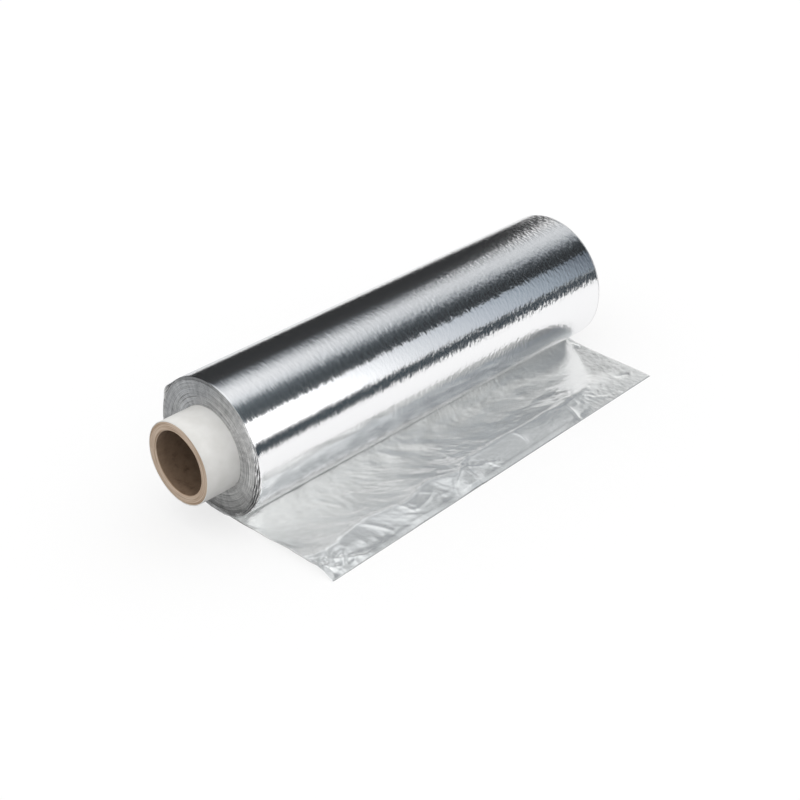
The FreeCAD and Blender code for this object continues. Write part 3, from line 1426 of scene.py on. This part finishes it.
@dataclass(frozen=True)
class Table(Finish):
    """A pale table. A part of its white is its own glow, which leaves soft shadows."""

    name: str = "pale_table"
    colour: str = "#A0A0A0"
    glow: float = 0.66

    def fill(self, tree: bpy.types.NodeTree) -> bpy.types.NodeSocket:
        """Adds the matt table, and the glow for rays of the camera, of mirrors and through glass.

        Args:
            tree: the material's nodes.

        Returns:
            The shader.
        """
        path = add_node(tree, "ShaderNodeLightPath")
        seen = path.outputs["Is Camera Ray"]
        for ray in ("Is Glossy Ray", "Is Transmission Ray"):
            either = add_node(
                tree, "ShaderNodeMath", links={0: seen, 1: path.outputs[ray]}, operation="MAXIMUM"
            )
            seen = either.outputs["Value"]
        level = add_node(tree, "ShaderNodeMath", values={1: self.glow}, links={0: seen}, operation="MULTIPLY")
        glow = add_node(
            tree,
            "ShaderNodeEmission",
            values={"Color": linear("#FFFFFF")},
            links={"Strength": level.outputs["Value"]},
        )
        matt = add_node(tree, "ShaderNodeBsdfDiffuse", values={"Color": linear(self.colour)})
        both = add_node(
            tree, "ShaderNodeAddShader", links={0: glow.outputs["Emission"], 1: matt.outputs["BSDF"]}
        )
        return both.outputs["Shader"]


@dataclass(frozen=True)
class Card(Finish):
    """A flat card that only the metal mirrors, with a tone that runs along one axis.

    It reaches from the first to the second of each pair of places: along the roll, across it and up. It
    stands upright where the two across are the same, and lies level where the two up are. An upright one's
    end may lean outwards, by a share of the height.
    """

    name: str
    along: tuple[float, float]
    across: tuple[float, float]
    up: tuple[float, float]
    axis: str
    run: tuple[float, float]
    stops: tuple[tuple[float, str], ...]
    level: float = 1.0
    lean: float = 0.0

    def fill(self, tree: bpy.types.NodeTree) -> bpy.types.NodeSocket:
        """Adds the run of tones and the light that the card gives off.

        Args:
            tree: the material's nodes.

        Returns:
            The shader.
        """
        place = add_node(tree, "ShaderNodeTexCoord")
        parts = add_node(tree, "ShaderNodeSeparateXYZ", links={"Vector": place.outputs["Object"]})
        share = add_node(
            tree,
            "ShaderNodeMapRange",
            values={"From Min": self.run[0] * MM, "From Max": self.run[1] * MM},
            links={"Value": parts.outputs[self.axis]},
        )
        tone = add_node(tree, "ShaderNodeValToRGB", links={"Fac": share.outputs["Result"]}, stops=self.stops)
        light = add_node(
            tree,
            "ShaderNodeEmission",
            values={"Strength": self.level},
            links={"Color": tone.outputs["Color"]},
        )
        return light.outputs["Emission"]

    def build(self) -> bpy.types.Object:
        """Makes the card.

        Returns:
            The card.
        """
        (left, right), (front, back), (low, high) = self.along, self.across, self.up
        leant = right + self.lean * (high - low)
        corners = [(left, front, low), (right, front, low), (leant, back, high), (left, back, high)]
        item = stage_sheet(self.name, corners, self.material())
        item.visible_camera = False
        item.visible_diffuse = False
        item.visible_shadow = False
        item.visible_transmission = False
        return item


@dataclass(frozen=True)
class Band:
    """What the metal mirrors in one part of the room: light and dark by the angle across the roll.

    The angle is in degrees from +Y towards +Z. The band takes over where a direction leans along the roll
    by more than the first number of its lean, and wholly by the second.
    """

    stops: tuple[tuple[float, str], ...]
    lean: tuple[float, float] = (0.0, 0.0)


@dataclass
class Studio:
    """The table, the soft light and the camera."""

    camera_place: tuple[float, float, float] = (-617.2, -614.7, 535.4)
    camera_heading: float = 44.712
    camera_dip: float = 31.135
    camera_roll: float = -0.443
    lens: float = 71.69
    clip_near: float = 10.0
    clip_far: float = 100000.0
    floor_reach: float = 6000.0
    mirrored_level: float = 1.1
    glossy_bounces: int = 20
    all_bounces: int = 24

    def camera(self) -> None:
        """Sets the camera up where the photograph was taken from."""
        data = bpy.data.cameras.new("camera")
        data.lens = self.lens
        data.clip_start = self.clip_near * MM
        data.clip_end = self.clip_far * MM
        item = bpy.data.objects.new("camera", data)
        bpy.context.scene.collection.objects.link(item)
        heading, dip, roll = map(math.radians, (self.camera_heading, self.camera_dip, self.camera_roll))
        forward = Vector((math.cos(heading), math.sin(heading), -math.tan(dip))).normalized()
        level = Vector((math.sin(heading), -math.cos(heading), 0))
        right = level * math.cos(roll) + level.cross(forward) * math.sin(roll)
        turned = Matrix((right, right.cross(forward), -forward)).transposed().to_4x4()
        item.matrix_world = Matrix.Translation(Vector(self.camera_place) * MM) @ turned
        bpy.context.scene.camera = item

    def floor(self) -> None:
        """Lays the table."""
        reach = self.floor_reach
        corners = [(-reach, -reach, 0), (reach, -reach, 0), (reach, reach, 0), (-reach, reach, 0)]
        stage_sheet("floor", corners, Table().material())

    def cards(self) -> list[Card]:
        """Lists the cards round the roll.

        A tall dark one stands behind the roll and ends past its far end. A low dark one stands far in front,
        as the dark of the room over the table's edge. A bright one hangs close in front and gets darker
        along the roll. Two lie beside the near end and shade its rings, and a pale one lies behind the roll.

        Returns:
            The cards.
        """
        return [
            Card(
                "back_card",
                along=(-1500, 525),
                across=(400, 400),
                up=(40, 560),
                axis="Z",
                run=(0, 560),
                stops=((0, "#323334"), (1, "#3A3B3C")),
                lean=0.37,
            ),
            Card(
                "front_card",
                along=(-3000, 3000),
                across=(-700, -700),
                up=(0, 205),
                axis="Z",
                run=(0, 205),
                stops=((0, "#3C444A"), (1, "#3A4248")),
            ),
            Card(
                "fill_card",
                along=(-600, 400),
                across=(-110, -110),
                up=(80, 157),
                axis="X",
                run=(-80, 250),
                stops=(
                    (0, "#FFFFFF"), (1, "#4A5058"), (0.39, "#B4B7BA"), (0.61, "#969CA3"), (0.81, "#7A838B"),
                ),
                level=1.6,
            ),
            Card(
                "shade_card",
                along=(-420, -151),
                across=(-70, 60),
                up=(1, 1),
                axis="X",
                run=(-250, -150),
                stops=((0, "#FFFFFF"), (1, "#3C3C3C"), (0.6, "#F0F0EE")),
            ),
            Card(
                "side_card",
                along=(-420, -151),
                across=(60, 240),
                up=(1, 1),
                axis="X",
                run=(-300, -150),
                stops=((0, "#B0B2B2"), (1, "#505050")),
            ),
            Card(
                "table_card",
                along=(-600, 600),
                across=(90, 700),
                up=(2, 2),
                axis="X",
                run=(-150, 250),
                stops=((0, "#C6C8CA"), (1, "#F8F8F8"), (0.3, "#DCDEE0")),
            ),
        ]

    def bands(self) -> list[Band]:
        """Lists the bands of the room, from beside the near end to past the far end.

        Each has the dark behind, the soft light overhead, the dark in front and the white table.

        Returns:
            The bands.
        """
        near = (
            (0, "#F0F0F0"), (44, "#3C4044"), (50, "#4E5256"), (56, "#7E8286"), (66, "#D2D5D8"),
            (79, "#F2F3F4"), (93, "#EEF0F2"), (99, "#D6DADD"), (107, "#6C7479"), (120, "#565D61"),
            (132, "#60666A"), (135.5, "#FFFFFF"),
        )
        middle = (
            (0, "#E8E8E8"), (44, "#383C40"), (51, "#505356"), (59, "#717478"), (66, "#A6A9AC"),
            (75, "#C4C7CA"), (86, "#BEC1C4"), (95, "#A3A8AC"), (108, "#44494D"), (119, "#313437"),
            (132.5, "#3A3E41"), (136, "#D6D7D6"), (150, "#DADBDA"), (163, "#C8C9C8"),
        )
        far = (
            (0, "#E8E8E8"), (44, "#383C40"), (59, "#646668"), (65, "#868A8C"), (74, "#B8BBBE"),
            (89, "#ADB1B4"), (97, "#7E8286"), (106, "#484C50"), (120, "#303336"), (131.5, "#34373A"),
            (137, "#96989A"), (150, "#A8AAA8"), (163, "#989A98"),
        )
        end = (
            (0, "#F4F4F4"), (44, "#F4F4F4"), (59, "#D4D6D8"), (73, "#CFD1D3"), (91, "#A9ADB0"),
            (97, "#84898E"), (108, "#3A3D40"), (119, "#262829"), (131, "#262829"), (139, "#5A5C5E"),
            (150, "#6C6E6E"), (163, "#6A6C6C"), (180, "#8C8E8C"),
        )
        return [Band(near), Band(middle, (0.63, 0.70)), Band(far, (0.78, 0.90)), Band(end, (0.95, 0.98))]

    def surroundings(self) -> None:
        """Fills the world: plain white light, and for the metal to mirror, bands of light and dark.

        The bands depend on the direction's angle across the roll, from +Y towards +Z, and on how far it
        leans along the roll, which is x over the root of y squared plus z squared.
        """
        world = bpy.data.worlds.new("studio")
        bpy.context.scene.world = world
        world.use_nodes = True
        world.cycles.sampling_method = "NONE"
        tree = world.node_tree
        tree.nodes.clear()
        way = add_node(tree, "ShaderNodeTexCoord")
        parts = add_node(tree, "ShaderNodeSeparateXYZ", links={"Vector": way.outputs["Generated"]})
        angle = add_node(
            tree, "ShaderNodeMath", links={0: parts.outputs["Z"], 1: parts.outputs["Y"]}, operation="ARCTAN2"
        )
        turn = add_node(
            tree,
            "ShaderNodeMapRange",
            values={"From Min": 0.0, "From Max": math.pi},
            links={"Value": angle.outputs["Value"]},
        )
        squares = [
            add_node(
                tree, "ShaderNodeMath", values={1: 2.0}, links={0: parts.outputs[axis]}, operation="POWER"
            )
            for axis in ("Y", "Z")
        ]
        total = add_node(
            tree,
            "ShaderNodeMath",
            links={0: squares[0].outputs["Value"], 1: squares[1].outputs["Value"]},
            operation="ADD",
        )
        across = add_node(tree, "ShaderNodeMath", links={0: total.outputs["Value"]}, operation="SQRT")
        lean = add_node(
            tree,
            "ShaderNodeMath",
            links={0: parts.outputs["X"], 1: across.outputs["Value"]},
            operation="DIVIDE",
        )
        bands = self.bands()
        tones = [
            add_node(
                tree,
                "ShaderNodeValToRGB",
                links={"Fac": turn.outputs["Result"]},
                stops=[(place / 180, colour) for place, colour in band.stops],
            ).outputs["Color"]
            for band in bands
        ]
        shown = tones[0]
        for band, tone in zip(bands[1:], tones[1:]):
            share = add_node(
                tree,
                "ShaderNodeMapRange",
                values={"From Min": band.lean[0], "From Max": band.lean[1]},
                links={"Value": lean.outputs["Value"]},
            )
            # The mix node's colour inputs are numbers 6 and 7, and its colour output is number 2.
            mixed = add_node(
                tree,
                "ShaderNodeMix",
                links={"Factor": share.outputs["Result"], 6: shown, 7: tone},
                data_type="RGBA",
            )
            shown = mixed.outputs[2]
        mirrored = add_node(
            tree, "ShaderNodeBackground", values={"Strength": self.mirrored_level}, links={"Color": shown}
        )
        plain = add_node(tree, "ShaderNodeBackground", values={"Color": linear("#FFFFFF"), "Strength": 1.0})
        path = add_node(tree, "ShaderNodeLightPath")
        chosen = add_node(
            tree,
            "ShaderNodeMixShader",
            links={
                0: path.outputs["Is Glossy Ray"],
                1: plain.outputs["Background"],
                2: mirrored.outputs["Background"],
            },
        )
        add_node(tree, "ShaderNodeOutputWorld", links={"Surface": chosen.outputs["Shader"]})

    def build(self) -> None:
        """Sets up the table, the cards, the light and the camera.

        The bounces are raised because light goes many times between the roll and the foil under it.
        """
        scene = bpy.context.scene
        scene.view_settings.view_transform = "Standard"
        scene.cycles.glossy_bounces = self.glossy_bounces
        scene.cycles.max_bounces = self.all_bounces
        self.floor()
        for card in self.cards():
            card.build()
        self.surroundings()
        self.camera()


def hand_over(piece: bpy.types.Object, slot: Slot, *nodes: str) -> None:
    """Lets a piece ride on the part in place of its nodes, and logs the slot it belongs to.

    Args:
        piece: the finished piece.
        slot: the record's slot that its finish belongs to.
        nodes: the solids that it stands for.
    """
    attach(piece, "root")
    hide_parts(*nodes)
    LOG.info("%s: %d faces, slot %s", piece.name, len(piece.data.polygons), slot.value)


def main() -> None:
    """Builds the pieces in order, then the studio."""
    logging.basicConfig(level=logging.INFO)
    size = RollFrame.read()
    hand_over(WoundFoil(size).build(), Slot.FOIL, "foil")
    hand_over(DrawnFoil(size).build(), Slot.FOIL, "foil")
    core = Core(size)
    hand_over(core.board(), Slot.CORE_BOARD, "core_tube")
    hand_over(core.paper(), Slot.CORE_PAPER, "core_cover")
    Studio().build()


if __name__ == "__main__":
    main()
